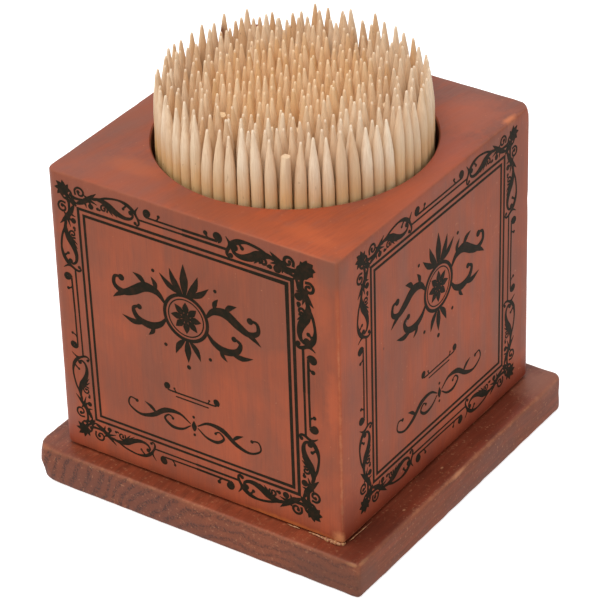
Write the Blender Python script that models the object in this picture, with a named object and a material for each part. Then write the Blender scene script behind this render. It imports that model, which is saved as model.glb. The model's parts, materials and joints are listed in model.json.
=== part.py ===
"""Wooden toothpick holder: a bored block on a square base board, filled with loose round toothpicks."""

import math

import bmesh
import bpy
import numpy as np
from mathutils import Color, Matrix, Vector

# Clearances between pieces that touch on the real object
SEAT_GAP = 0.0003
CUT_OVERRUN = 0.001

# Bore and the walls that it leaves in the block, which differ because it was bored off centre
BORE_DIAMETER = 0.0459
LEFT_WALL = 0.0049
RIGHT_WALL = 0.0042
FRONT_WALL = 0.0062
BACK_WALL = 0.0054
BORE_EDGE_EASE = 0.0003

# Block; corners go front left, front right, back right, back left
BLOCK_HEIGHT = 0.0521
BLOCK_CORNER_ROUNDS = (0.0018, 0.0008, 0.0016, 0.0016)
BLOCK_EDGE_EASE = 0.0004

# Base board, with a ledge all round the block
BASE_THICKNESS = 0.0066
LEFT_LEDGE = 0.0041
RIGHT_LEDGE = 0.0049
FRONT_LEDGE = 0.0032
BACK_LEDGE = 0.003
BASE_CORNER_ROUNDS = (0.0021, 0.001, 0.0017, 0.0017)
BASE_EDGE_EASE = 0.0007

# One toothpick: a round stick with a convex point at each end
PICK_DIAMETER = 0.0021
PICK_LENGTH = 0.064
PICK_TAPER = 0.0105
BROKEN_TIP_DIAMETER = 0.0013
TAPER_HEIGHT_shares = (0.0, 0.62, 1.0)
TAPER_RADIUS_shares = (1.0, 0.66, 0.14)

# How the toothpicks stand in the bore
PICK_CLEARANCE = 0.00007
PICK_SPACING = 0.00222
WALL_CLEARANCE = 0.0005
PICK_LEAN = 0.0005
PICK_STIR = 0.0004
LENGTH_SPREAD = 0.0015
SUNK_PICK_DROP = 0.003
SUNK_PICK_share = 0.04
BROKEN_PICK_share = 0.012
ROW_STEP_share = 0.9
WALL_ROWS = 2
STIR_STEPS = 150
LEVEL_shares = (0.0, 0.5, 1.0)
PILE_TURN_DEGREES = 35.0
PLACE_SEED = 29
LENGTH_SEED = 21

# Toothpicks that are pieces of their own, and the slices that tie the others into bundles
LOOSE_PICKS = 54
TIE_THICKNESS = 0.0005
TIE_GAP = 0.0005
DRAWN_PICK_PLACE_shares = (
    (0.10, -0.66),
    (0.52, -0.34),
    (-0.40, -0.38),
    (0.48, 0.34),
    (-0.52, 0.24),
    (0.04, 0.62),
)

# Facets and fillet steps
BORE_SIDES = 80
TIE_SIDES = 48
PICK_SIDES = 5
CORNER_STEPS = 4
EASE_STEPS = 2
FILLET_PROFILE = 0.5
WELD = 0.00001
SHADE_ANGLE = math.radians(35)

# Signs of the corners: front left, front right, back right, back left
CORNERS = ((-1, -1), (1, -1), (1, 1), (-1, 1))

# Sizes that follow from the ones above
BORE_RADIUS = BORE_DIAMETER / 2
BLOCK_WIDTH = LEFT_WALL + BORE_DIAMETER + RIGHT_WALL
BLOCK_DEPTH = FRONT_WALL + BORE_DIAMETER + BACK_WALL
BASE_WIDTH = LEFT_LEDGE + BLOCK_WIDTH + RIGHT_LEDGE
BASE_DEPTH = FRONT_LEDGE + BLOCK_DEPTH + BACK_LEDGE
BLOCK_BOTTOM = BASE_THICKNESS + SEAT_GAP
BLOCK_TOP = BLOCK_BOTTOM + BLOCK_HEIGHT
BLOCK_CENTRE = Vector((LEFT_LEDGE - RIGHT_LEDGE, FRONT_LEDGE - BACK_LEDGE, 0)) / 2
BORE_CENTRE = BLOCK_CENTRE + Vector((LEFT_WALL - RIGHT_WALL, FRONT_WALL - BACK_WALL, 0)) / 2
TIE_BOTTOM = BASE_THICKNESS + SEAT_GAP
TIE_TOP = TIE_BOTTOM + TIE_THICKNESS
PICK_SEAT = TIE_TOP + SEAT_GAP
PICK_RADIUS = PICK_DIAMETER / 2
PICK_PITCH = PICK_DIAMETER + PICK_CLEARANCE
AXIS_LIMIT = BORE_RADIUS - WALL_CLEARANCE - PICK_RADIUS

# Finishes: sRGB colour, roughness, metallic
STAINED_WOOD = ("stained_wood", "A2553F", 0.5, 0.0)
BASE_WOOD = ("stained_base_wood", "93493A", 0.52, 0.0)
PICK_WOOD = ("plain_birch", "D8B488", 0.62, 0.0)


def clear_scene():
    for item in list(bpy.data.objects):
        bpy.data.objects.remove(item, do_unlink=True)


def new_collection(name):
    collection = bpy.data.collections.new(name)
    bpy.context.scene.collection.children.link(collection)
    return collection


def linear(hex_colour):
    """The linear RGBA of an sRGB hex colour."""
    channels = [channel / 255 for channel in bytes.fromhex(hex_colour)]
    return (*Color(channels).from_srgb_to_scene_linear(), 1.0)


def make_material(finish):
    name, colour, roughness, metallic = finish
    material = bpy.data.materials.new(name)
    material.use_nodes = True
    shader = material.node_tree.nodes["Principled BSDF"]
    shader.inputs["Base Color"].default_value = linear(colour)
    shader.inputs["Roughness"].default_value = roughness
    shader.inputs["Metallic"].default_value = metallic
    material.diffuse_color = linear(colour)
    return material


def add_object(name, bm, collection, material=None):
    """A mesh object from a bmesh, which is freed."""
    bmesh.ops.recalc_face_normals(bm, faces=bm.faces)
    mesh = bpy.data.meshes.new(name)
    bm.to_mesh(mesh)
    bm.free()
    mesh.shade_smooth()
    mesh.set_sharp_from_angle(angle=SHADE_ANGLE)
    item = bpy.data.objects.new(name, mesh)
    collection.objects.link(item)
    if material:
        mesh.materials.append(material)
    return item


def add_cutter(name, bm):
    cutter = add_object(name, bm, cutters)
    cutter.hide_render = True
    cutter.display_type = "WIRE"
    return cutter


def add_boolean(item, other, operation):
    modifier = item.modifiers.new(f"{operation.lower()} {other.name}", "BOOLEAN")
    modifier.operation = operation
    modifier.solver = "EXACT"
    modifier.object = other


def bevel(bm, edges, width, steps):
    bmesh.ops.bevel(
        bm,
        geom=edges,
        offset=width,
        offset_type="OFFSET",
        segments=steps,
        profile=FILLET_PROFILE,
        affect="EDGES",
    )


def eased_board(width, depth, height, corner_rounds, edge_ease):
    """A board standing on z = 0 with rounded upright edges and eased edges round its two faces."""
    bm = bmesh.new()
    bmesh.ops.create_cube(bm, size=1.0, matrix=Matrix.Diagonal((width, depth, height, 1.0)))
    bmesh.ops.translate(bm, verts=bm.verts, vec=(0, 0, height / 2))
    for (side, face), corner_round in zip(CORNERS, corner_rounds):
        corner = Vector((side * width, face * depth)) / 2
        upright = [e for e in bm.edges if all((v.co.xy - corner).length < WELD for v in e.verts)]
        bevel(bm, upright, corner_round, CORNER_STEPS)
    rims = [e for e in bm.edges if e.verts[0].co.z == e.verts[1].co.z]
    bevel(bm, rims, edge_ease, EASE_STEPS)
    return bm


def turned(bm, profile, sides, frame=Matrix.Identity(4)):
    """Rings of (height, radius) joined into one turned shape, closed at both ends."""
    made = []
    for (low, low_radius), (high, high_radius) in zip(profile, profile[1:]):
        middle = Matrix.Translation((0, 0, (low + high) / 2))
        made += bmesh.ops.create_cone(
            bm,
            cap_ends=False,
            segments=sides,
            radius1=low_radius,
            radius2=high_radius,
            depth=high - low,
            matrix=frame @ middle,
        )["verts"]
    for height, radius in (profile[0], profile[-1]):
        if radius:
            made += bmesh.ops.create_circle(
                bm,
                cap_ends=True,
                segments=sides,
                radius=radius,
                matrix=frame @ Matrix.Translation((0, 0, height)),
            )["verts"]
    bmesh.ops.remove_doubles(bm, verts=made, dist=WELD)


def make_base():
    bm = eased_board(BASE_WIDTH, BASE_DEPTH, BASE_THICKNESS, BASE_CORNER_ROUNDS, BASE_EDGE_EASE)
    add_object("base_board", bm, holder, make_material(BASE_WOOD))


def make_block():
    bm = eased_board(BLOCK_WIDTH, BLOCK_DEPTH, BLOCK_HEIGHT, BLOCK_CORNER_ROUNDS, BLOCK_EDGE_EASE)
    bmesh.ops.translate(bm, verts=bm.verts, vec=BLOCK_CENTRE + Vector((0, 0, BLOCK_BOTTOM)))
    block = add_object("bored_block", bm, holder, make_material(STAINED_WOOD))
    wide = BORE_RADIUS + BORE_EDGE_EASE + CUT_OVERRUN
    profile = [
        (BLOCK_BOTTOM - CUT_OVERRUN, BORE_RADIUS),
        (BLOCK_TOP - BORE_EDGE_EASE, BORE_RADIUS),
        (BLOCK_TOP + CUT_OVERRUN, wide),
    ]
    bore = bmesh.new()
    turned(bore, profile, BORE_SIDES, Matrix.Translation(BORE_CENTRE))
    add_boolean(block, add_cutter("bore", bore), "DIFFERENCE")


def first_places(random):
    """Where the toothpicks start: rows along the bore's wall, and a hexagonal pile inside them."""
    places = []
    radius = AXIS_LIMIT
    for _ in range(WALL_ROWS):
        count = int(2 * math.pi * radius / PICK_SPACING)
        turns = 2 * math.pi * (np.arange(count) + random.random()) / count
        places.append(radius * np.column_stack([np.cos(turns), np.sin(turns)]))
        radius -= ROW_STEP_share * PICK_SPACING
    steps = np.arange(-BORE_SIDES, BORE_SIDES + 1)
    column, row = (index.ravel() for index in np.meshgrid(steps, steps))
    pile = PICK_SPACING * np.column_stack([column + row / 2, row * math.sqrt(3) / 2])
    turn = math.radians(PILE_TURN_DEGREES)
    pile = pile @ np.array([[math.cos(turn), math.sin(turn)], [-math.sin(turn), math.cos(turn)]])
    places.append(pile[np.hypot(*pile.T) <= radius])
    return np.concatenate(places)


def nearest_to_drawn_places(places):
    """The toothpicks that can be drawn out one by one, which stand upright."""
    wanted = AXIS_LIMIT * np.array(DRAWN_PICK_PLACE_shares)
    return [int(np.hypot(*(places - spot).T).argmin()) for spot in wanted]


def part_neighbours(feet, tops, upright):
    """One step that moves toothpicks apart wherever two are closer than the pitch, and in from the wall."""
    for share in LEVEL_shares:
        places = feet + share * (tops - feet)
        apart = places[:, None] - places[None]
        gaps = np.hypot(apart[..., 0], apart[..., 1])
        np.fill_diagonal(gaps, PICK_PITCH)
        short = np.clip(PICK_PITCH - gaps, 0, None) / gaps / 2
        push = (apart * short[..., None]).sum(axis=1)
        reach = np.hypot(*(places + push).T)
        over = np.clip(reach / AXIS_LIMIT, 1, None)[:, None]
        push = (places + push) / over - places
        feet = feet + (1 - share) * push
        tops = tops + share * push
    middle = (feet[upright] + tops[upright]) / 2
    feet[upright] = middle
    tops[upright] = middle
    return feet, tops


def worst_neighbour(feet, tops, upright):
    """The toothpick that still cuts into most others, or None."""
    cuts = np.zeros(len(feet), int)
    for share in LEVEL_shares:
        places = feet + share * (tops - feet)
        apart = places[:, None] - places[None]
        gaps = np.hypot(apart[..., 0], apart[..., 1])
        np.fill_diagonal(gaps, PICK_PITCH)
        cuts += (gaps < PICK_DIAMETER).sum(axis=1)
    cuts[upright] = 0
    return int(cuts.argmax()) if cuts.max() > 0 else None


def standing_picks():
    """Foot and top of each toothpick, in an order that starts with the ones that can be drawn."""
    random = np.random.default_rng(PLACE_SEED)
    feet = first_places(random)
    upright = nearest_to_drawn_places(feet)
    feet = feet + random.normal(0, PICK_STIR, feet.shape)
    tops = feet + random.normal(0, PICK_LEAN, feet.shape)
    for _ in range(STIR_STEPS):
        feet, tops = part_neighbours(feet, tops, upright)
    order = upright + [i for i in range(len(feet)) if i not in upright]
    feet, tops = feet[order], tops[order]
    upright = list(range(len(upright)))
    while (worst := worst_neighbour(feet, tops, upright)) is not None:
        feet = np.delete(feet, worst, axis=0)
        tops = np.delete(tops, worst, axis=0)
    return feet, tops


def numbered(feet):
    """The toothpicks in their numbers' order, the loose ones first: the drawn ones, those over the parting
    line from both walls inward, and those along the wall, which end with the one nearest the front."""
    drawn = list(range(len(DRAWN_PICK_PLACE_shares)))
    others = range(len(drawn), len(feet))
    over_line = [i for i in others if abs(feet[i][0]) < PICK_RADIUS + TIE_GAP / 2]
    over_line.sort(key=lambda i: feet[i][1])
    inward = [over_line.pop(-(turn % 2)) for turn in range(len(over_line))]
    by_wall = [i for i in others if i not in inward and math.hypot(*feet[i]) > AXIS_LIMIT - PICK_RADIUS]
    by_wall.sort(key=lambda i: abs(math.atan2(feet[i][0], -feet[i][1])))
    room = LOOSE_PICKS - len(drawn) - len(inward)
    loose = drawn + inward + by_wall[:room][::-1]
    return loose + [i for i in others if i not in loose]


def pick_lengths(count):
    """Each toothpick's length by its number, and whether its tip is broken off."""
    spread, drop, chance = np.random.default_rng(LENGTH_SEED).random((count, 3)).T
    sunk = chance < SUNK_PICK_share
    lengths = PICK_LENGTH - LENGTH_SPREAD * spread - SUNK_PICK_DROP * drop * sunk
    broken = (chance > 1 - BROKEN_PICK_share) & (np.arange(count) >= len(DRAWN_PICK_PLACE_shares))
    return lengths, broken


def pick_frame(foot, top):
    """The frame of a toothpick: its origin at its foot on the seat, its Z along the stick."""
    low = Vector((*foot, PICK_SEAT)) + BORE_CENTRE
    lean = Vector((*(top - foot), PICK_LENGTH))
    return Matrix.Translation(low) @ lean.to_track_quat("Z", "Y").to_matrix().to_4x4()


def pick_profile(length, broken, start=None):
    """Rings of a toothpick from its foot up, from a pointed foot or, with start, cut off at that height."""
    point = [(PICK_TAPER * h, PICK_RADIUS * r) for h, r in zip(TAPER_HEIGHT_shares, TAPER_RADIUS_shares)]
    upper = [(length - PICK_TAPER + h, r) for h, r in point]
    if broken:
        upper = [upper[0], (upper[1][0], BROKEN_TIP_DIAMETER / 2)]
    if start is None:
        return [(PICK_TAPER - h, r) for h, r in reversed(point)] + upper
    return [(start, PICK_RADIUS)] + upper


def make_loose_picks(picks):
    """Toothpicks that are objects of their own, each with its origin at its foot."""
    birch = make_material(PICK_WOOD)
    for number, (foot, top, length, broken) in enumerate(picks, 1):
        bm = bmesh.new()
        turned(bm, pick_profile(length, broken), PICK_SIDES)
        pick = add_object(f"toothpick_{number:02d}", bm, holder, birch)
        pick.matrix_world = pick_frame(foot, top)


def tie_outline(side):
    """Half a disc on one side of the line that parts the two bundles."""
    radius = AXIS_LIMIT + PICK_RADIUS
    edge = math.asin(TIE_GAP / 2 / radius)
    turns = np.linspace(-math.pi / 2 + edge, math.pi / 2 - edge, TIE_SIDES // 2)
    return [Vector((side * radius * math.cos(t), radius * math.sin(t), 0)) + BORE_CENTRE for t in turns]


def make_bundle(name, side, picks):
    """Toothpicks of one half of the bore, tied by a thin slice that lies under them on the base."""
    tie = bmesh.new()
    face = tie.faces.new([tie.verts.new(point + Vector((0, 0, TIE_BOTTOM))) for point in tie_outline(side)])
    grown = bmesh.ops.extrude_face_region(tie, geom=[face])["geom"]
    raised = [v for v in grown if isinstance(v, bmesh.types.BMVert)]
    bmesh.ops.translate(tie, verts=raised, vec=(0, 0, TIE_THICKNESS))
    bundle = add_object(name, tie, holder, make_material(PICK_WOOD))
    sticks = bmesh.new()
    start = -SEAT_GAP - TIE_THICKNESS / 2
    for foot, top, length, broken in picks:
        turned(sticks, pick_profile(length, broken, start), PICK_SIDES, pick_frame(foot, top))
    add_boolean(bundle, add_cutter(f"{name}_sticks", sticks), "UNION")


def make_picks():
    """The loose toothpicks, and the two bundles that hold the rest of each half of the bore."""
    feet, tops = standing_picks()
    order = numbered(feet)
    picks = list(zip(feet[order], tops[order], *pick_lengths(len(order))))
    make_loose_picks(picks[:LOOSE_PICKS])
    tied = picks[LOOSE_PICKS:]
    make_bundle("toothpick_bundle_left", -1, [pick for pick in tied if pick[0][0] < 0])
    make_bundle("toothpick_bundle_right", 1, [pick for pick in tied if pick[0][0] > 0])


clear_scene()
holder = new_collection("toothpick_holder")
cutters = new_collection("cutters")
make_base()
make_block()
make_picks()
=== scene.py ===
import json
import math
from functools import partial

import bmesh
import bpy
import numpy as np
from mathutils import Matrix, Vector, geometry, noise


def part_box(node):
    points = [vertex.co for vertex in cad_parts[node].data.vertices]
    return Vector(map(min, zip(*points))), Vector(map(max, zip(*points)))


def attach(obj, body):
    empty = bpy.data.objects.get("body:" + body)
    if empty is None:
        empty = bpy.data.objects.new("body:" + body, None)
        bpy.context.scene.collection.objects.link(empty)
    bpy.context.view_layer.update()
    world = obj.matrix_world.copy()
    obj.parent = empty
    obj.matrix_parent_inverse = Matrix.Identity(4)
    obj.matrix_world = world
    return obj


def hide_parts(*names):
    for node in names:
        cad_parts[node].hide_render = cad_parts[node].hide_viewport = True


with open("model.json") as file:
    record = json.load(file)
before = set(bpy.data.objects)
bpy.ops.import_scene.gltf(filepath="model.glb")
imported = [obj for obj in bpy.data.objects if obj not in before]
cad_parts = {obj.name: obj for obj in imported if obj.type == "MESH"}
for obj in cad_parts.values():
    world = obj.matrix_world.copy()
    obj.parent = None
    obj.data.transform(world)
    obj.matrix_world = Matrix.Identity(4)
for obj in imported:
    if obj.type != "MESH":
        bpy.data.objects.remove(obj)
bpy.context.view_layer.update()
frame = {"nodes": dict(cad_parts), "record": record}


# ---------------- base board
# The base is a square pine board, sawn, sanded and stained. Its end grain faces
# front and back. The stain lies thick and glossy on the ledge and is rubbed off
# along the top edges.

MM = 0.001
SAME_PLACE = 1e-4
BASE_LOW, BASE_HIGH = (Vector(corner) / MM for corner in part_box("base_board"))
BASE_CORNER_ROUNDS = (2.1, 0.8, 1.7, 1.7)  # front left, front right, back right, back left
BASE_EDGE_ROUND = 0.55
CORNER_STEPS, EDGE_STEPS = 6, 3
CUT_SPACING = 1.6
WORN_REACH = 1.4
BASE_WEAR = 0.13
SHARP_ANGLE = math.radians(38)
# Dents in the base: x, y, z, radius, depth
BASE_DENTS = (
    (31.8, 29.5, 5.6, 1.6, 0.22), (31.6, 31.4, 3.2, 1.4, 0.1), (-31.8, -31.2, 6.4, 2.6, 0.5),
    (-31.9, -31.7, 0, 4.2, 0.75), (31.8, -31.6, 6.4, 1.2, 0.2), (8, -31.8, 6.5, 1.3, 0.12),
    (31.9, 2, 6.5, 1.5, 0.12),
)
# Marks on the base: middle, reach each way, strength, colour
BASE_MARKS = (
    ((31, -31.8, 6.4), (1.7, 0.4, 0.4), 0.55, "C98E60"),
    ((31.9, -30.4, 6.4), (0.4, 1.5, 0.4), 0.45, "C08558"),
    ((30, -15.4, 6.6), (0.22, 0.3, 0.2), 0.7, "C59068"),
    ((29, -2.3, 6.6), (0.22, 0.35, 0.2), 0.7, "C59068"), ((32, -1.8, 6.3), (0.5, 2.6, 0.5), 0.7, "CC8A62"),
    ((10, -30.4, 6.6), (9, 1.6, 1), 0.4, "74301A"), ((-30.8, -31.4, 6.4), (2.2, 0.8, 0.6), 0.3, "C07850"),
    ((-31.9, -29.5, 6.3), (0.5, 2.2, 0.6), 0.35, "B97A54"),
    ((-25, -30.5, 6.6), (3.5, 1.8, 0.8), 0.45, "743A26"), ((30, 27.5, 6.6), (4, 6, 1.5), 0.7, "A0654F"),
    # The first mark on the next line, a dark band on the ledge along the block's right foot, is partly pooled
    # stain and partly painted shadow of the block.
    ((29.5, -24.5, 6.6), (3.4, 9, 1), 0.65, "541F0F"), ((27, -32, 2), (10, 2, 4.5), 0.5, "5A382B"),
    ((32, -29.5, 2.5), (1, 3.5, 4), 0.55, "6A4639"),
)


def make_board(low, high, corner_rounds, edge_round):
    """A board in millimetres with rounded upright corners and eased faces."""
    bm = bmesh.new()
    size, middle = high - low, (high + low) / 2
    bmesh.ops.create_cube(bm, size=1.0, matrix=Matrix.Translation(middle) @ Matrix.Diagonal((*size, 1.0)))
    corners = ((low.x, low.y), (high.x, low.y), (high.x, high.y), (low.x, high.y))
    for corner, radius in zip(corners, corner_rounds):
        corner = Vector(corner)
        upright = [e for e in bm.edges if all((v.co.xy - corner).length < SAME_PLACE for v in e.verts)]
        bmesh.ops.bevel(bm, geom=upright, offset=radius, segments=CORNER_STEPS, profile=0.5, affect="EDGES")
    rims = [e for e in bm.edges if abs(e.verts[0].co.z - e.verts[1].co.z) < SAME_PLACE]
    bmesh.ops.bevel(bm, geom=rims, offset=edge_round, segments=EDGE_STEPS, profile=0.5, affect="EDGES")
    return bm


def cut_into_cells(bm, low, high):
    """Cuts all faces on a regular grid, so that wear and dents have vertices to move."""
    for axis in range(3):
        count = round((high[axis] - low[axis]) / CUT_SPACING)
        normal = Vector([float(axis == other) for other in range(3)])
        for step in range(1, count):
            place = low.lerp(high, step / count)
            geom = bm.verts[:] + bm.edges[:] + bm.faces[:]
            bmesh.ops.bisect_plane(bm, geom=geom, plane_co=place, plane_no=normal, dist=0.001)


def wear_edges(bm, low, high, depth, dents):
    """Rubs edges and corners unevenly inwards, and presses in each dent."""
    middle = (low + high) / 2
    for vert in bm.verts:
        point = vert.co.copy()
        sides = [min(point[axis] - low[axis], high[axis] - point[axis]) for axis in range(3)]
        distance = sorted(sides)[1]  # from the nearest edge
        if distance < WORN_REACH:
            heading = [1 if point[axis] < middle[axis] else -1 for axis in range(3)]
            inward = Vector([way * max(0, 1 - side / WORN_REACH) for way, side in zip(heading, sides)])
            rough = 0.5 + 0.5 * noise.noise(point * 0.35) + 0.35 * noise.noise(point * 1.1)
            vert.co += inward * (depth * max(0, rough) * (1 - distance / WORN_REACH))
        for *place, radius, press in dents:
            away = (point - Vector(place)).length / radius
            if away < 1:
                vert.co += (middle - point).normalized() * (press * (1 - away * away) ** 2)


def linear(hex_colour):
    """Linear RGBA of an sRGB hex colour."""
    channels = [int(hex_colour[start:start + 2], 16) / 255 for start in (0, 2, 4)]
    return [c / 12.92 if c <= 0.04045 else ((c + 0.055) / 1.055) ** 2.4 for c in channels] + [1.0]


SMOOTH = {"interpolation_type": "SMOOTHSTEP"}
RGBA = {"data_type": "RGBA", "output": 2}


def set_inputs(node, inputs):
    """Sets a node's inputs to values or sRGB hex colours, or links them to other nodes' outputs."""
    for socket, value in inputs.items():
        if isinstance(value, bpy.types.NodeSocket):
            node.id_data.links.new(value, node.inputs[socket])
        else:
            node.inputs[socket].default_value = linear(value) if isinstance(value, str) else value


def add_node(tree, kind, inputs, output=0, **settings):
    """Adds a node of a kind, with its operation after a space, and returns one of its outputs."""
    kind, _, operation = kind.partition(" ")
    node = tree.nodes.new("ShaderNode" + kind)
    if operation:
        node.operation = operation
    for name, value in settings.items():
        setattr(node, name, value)
    set_inputs(node, inputs)
    return node.outputs[output]


def new_finish(name):
    """A material, what adds its nodes, its shader, and the place on the object in millimetres."""
    material = bpy.data.materials.new(name)
    material.use_nodes = True
    tree = material.node_tree
    add = partial(add_node, tree)
    place = add("TexCoord", {}, output=3)
    place = add("VectorMath SCALE", {0: place, "Scale": 1 / MM})
    return material, add, tree.nodes["Principled BSDF"], place


def edge_distance_node(add, place, low, high):
    """The shader's own distance in millimetres from a box's nearest edge."""
    middle, half = (low + high) / 2, (high - low) / 2
    away = add("VectorMath SUBTRACT", {0: place, 1: middle})
    away = add("VectorMath ABSOLUTE", {0: away})
    inside = add("VectorMath SUBTRACT", {0: half, 1: away})
    split = add("SeparateXYZ", {0: inside}).node.outputs
    pairs = [add("Math MAXIMUM", {0: split[a], 1: split[b]}) for a, b in ((0, 1), (0, 2), (1, 2))]
    nearest = add("Math MINIMUM", {0: pairs[0], 1: pairs[1]})
    return add("Math MINIMUM", {0: nearest, 1: pairs[2]})


def add_streaks(add, place, stretch, detail, roughness=0.5):
    """Noise drawn out along the grain; stretch says how fast it changes each way, per millimetre."""
    stretched = add("VectorMath MULTIPLY", {0: place, 1: stretch})
    return add("TexNoise", {"Vector": stretched, "Scale": 1, "Detail": detail, "Roughness": roughness})


def add_washes(add, colour, washes):
    """Lays washes over a colour, one after another: share, own colour."""
    for share, shade in washes:
        colour = add("Mix", {0: share, 6: colour, 7: shade}, **RGBA)
    return colour


def add_marks(add, place, rough, colour, marks):
    """Lays ragged marks over a colour: middle, reach each way, strength, own colour."""
    for centre, reach, strength, shade in marks:
        away = add("VectorMath SUBTRACT", {0: place, 1: centre})
        away = add("VectorMath DIVIDE", {0: away, 1: reach})
        away = add("VectorMath LENGTH", {0: away}, output=1)
        away = add("Math MULTIPLY_ADD", {0: rough, 1: 1.2, 2: away})
        share = add("MapRange", {0: away, 1: 1.9, 2: 0.9, 4: strength}, **SMOOTH)
        colour = add_washes(add, colour, ((share, shade),))
    return colour


def new_mesh(name, bm):
    """Turns a bmesh into a mesh."""
    mesh = bpy.data.meshes.new(name)
    bm.to_mesh(mesh)
    bm.free()
    return mesh


def new_object(name, data):
    """An object in the scene."""
    made = bpy.data.objects.new(name, data)
    bpy.context.scene.collection.objects.link(made)
    return made


def add_piece(name, bm, material, body):
    """A piece of the scene from a bmesh in millimetres, riding on a body."""
    bm.transform(Matrix.Scale(MM, 4))
    mesh = new_mesh(name, bm)
    mesh.shade_smooth()
    mesh.set_sharp_from_angle(angle=SHARP_ANGLE)
    mesh.materials.append(material)
    piece = new_object(name, mesh)
    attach(piece, body)
    return piece


# Pine with a mauve-brown oil stain: matt and porous on the end grain, where the
# pores drank it and show as short dark dashes along the growth rings, streaked
# along the sides, and redder and shinier on the ledge.
RING_SPACING = 1.9
PITH = (7.0, 0.0, -10.0)
base_finish, add, shader, place = new_finish("oil_stained_pine")
wobble = add_streaks(add, place, (0.11, 0.02, 0.11), 3)
across = add("VectorMath SUBTRACT", {0: place, 1: PITH})
across = add("SeparateXYZ", {0: across}).node.outputs
flattened = add("Math MULTIPLY", {0: across[0], 1: 0.12})
flattened = add("Math MINIMUM", {0: across[0], 1: flattened})
radius = add("CombineXYZ", {0: flattened, 2: across[2]})
radius = add("VectorMath LENGTH", {0: radius}, output=1)
radius = add("Math MULTIPLY_ADD", {0: wobble, 1: 6, 2: radius})
turns = add("Math MULTIPLY", {0: radius, 1: math.tau / RING_SPACING})
rings = add("Math SINE", {0: turns})
rings = add("MapRange", {0: rings, 1: -0.3, 2: 0.8}, **SMOOTH)
pores = add_streaks(add, place, (2.3, 0.16, 2.3), 3, 0.6)
pore_breaks = add("MapRange", {0: pores, 1: 0.45, 2: 0.57}, **SMOOTH)
pore_breaks = add("Math MULTIPLY_ADD", {0: pore_breaks, 1: 0.8, 2: 0.2})
dashes = add("Math MULTIPLY", {0: rings, 1: pore_breaks})
fibres = add_streaks(add, place, (4.5, 0.3, 4.5), 2)
clouds = add("TexNoise", {"Vector": place, "Scale": 0.075, "Detail": 4, "Roughness": 0.6})
clouds = add("MapRange", {0: clouds, 1: 0.38, 2: 0.64}, **SMOOTH)
facing = add("TexCoord", {}, output=1)
facing = add("VectorMath ABSOLUTE", {0: facing})
facing = add("SeparateXYZ", {0: facing}).node.outputs
upward = add("MapRange", {0: facing[2], 1: 0.45, 2: 0.95}, **SMOOTH)
end_grain = add("MapRange", {0: facing[1], 1: 0.5, 2: 0.9, 3: 0.22, 4: 1}, **SMOOTH)
side_colour = add("Mix", {0: clouds, 6: "78422F", 7: "8B4D35"}, **RGBA)
ledge_colour = add("Mix", {0: clouds, 6: "7C3822", 7: "9A492D"}, **RGBA)
split = add("SeparateXYZ", {0: place}).node.outputs
# Darker on the ledge to the right of the block: partly a darker stain there, partly painted shade of the
# block.
right_ledge_stain_and_shade = add("MapRange", {0: split[0], 1: 20, 2: 27.5, 4: 0.72}, **SMOOTH)
outer_part = add("MapRange", {0: split[0], 1: 29.2, 2: 31.6, 4: 0.45}, **SMOOTH)
ledge_colour = add_washes(add, ledge_colour, ((right_ledge_stain_and_shade, "622110"), (outer_part, "934028")))
left_part = add("MapRange", {0: split[0], 1: -25, 2: -29.5, 4: 0.75})
ledge_colour = add("Mix", {0: left_part, 6: ledge_colour, 7: side_colour}, **RGBA)
colour = add("Mix", {0: upward, 6: side_colour, 7: ledge_colour}, **RGBA)
soaked = add_streaks(add, place, (0.42, 0.11, 0.42), 5, 0.65)
soaked = add("MapRange", {0: soaked, 1: 0.5, 2: 0.64, 4: 0.5}, **SMOOTH)
soaked = add("Math MULTIPLY", {0: soaked, 1: upward})
streaks = add("MapRange", {0: fibres, 1: 0.35, 2: 0.7, 4: 0.4})
grain = add_streaks(add, place, (1.3, 0.06, 1.3), 3, 0.6)
grain = add("MapRange", {0: grain, 1: 0.4, 2: 0.64, 4: 0.4}, **SMOOTH)
long_grain = add("MapRange", {0: end_grain, 1: 0.22, 2: 0.6, 3: 1, 4: 0})
long_grain = add("Math MULTIPLY_ADD", {0: upward, 1: -0.5, 2: long_grain}, use_clamp=True)
grain = add("Math MULTIPLY", {0: grain, 1: long_grain})
dash_share = add("Math MULTIPLY", {0: dashes, 1: end_grain})
dash_depth = add("MapRange", {0: split[0], 1: -10, 2: 12, 3: 0.85, 4: 0.62})
dash_share = add("Math MULTIPLY", {0: dash_share, 1: dash_depth})
edge = edge_distance_node(add, place, BASE_LOW, BASE_HIGH)
chipping = add("TexNoise", {"Vector": place, "Scale": 0.45, "Detail": 5, "Roughness": 0.7})
ragged = add("Math MULTIPLY_ADD", {0: chipping, 1: 2.6, 2: edge})
worn = add("MapRange", {0: ragged, 1: 1.9, 2: 1.1, 4: 0.6}, **SMOOTH)
rubbed = add("MapRange", {0: edge, 1: 0.8, 2: 0.1, 4: 0.5}, **SMOOTH)
rubbed = add("Math MULTIPLY", {0: rubbed, 1: chipping})
worn = add("Math MAXIMUM", {0: worn, 1: rubbed})
top_edge = add("MapRange", {0: split[2], 1: 3, 2: 5.5, 3: 0.15}, **SMOOTH)
worn = add("Math MULTIPLY", {0: worn, 1: top_edge})
specks = add("TexNoise", {"Vector": place, "Scale": 1.9, "Detail": 2, "Roughness": 0.6})
specks = add("MapRange", {0: specks, 1: 0.6, 2: 0.76, 4: 0.55})
colour = add_washes(add, colour, (
    (soaked, "54210F"), (streaks, "56301F"), (grain, "9A4C31"), (dash_share, "472820"),
    (worn, "B0704C"), (specks, "B9805C"),
))
colour = add_marks(add, place, chipping, colour, BASE_MARKS)
gloss = add("MapRange", {0: upward, 3: 0.62, 4: 0.42})
gloss = add("Math MULTIPLY_ADD", {0: clouds, 1: 0.1, 2: gloss})
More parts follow.
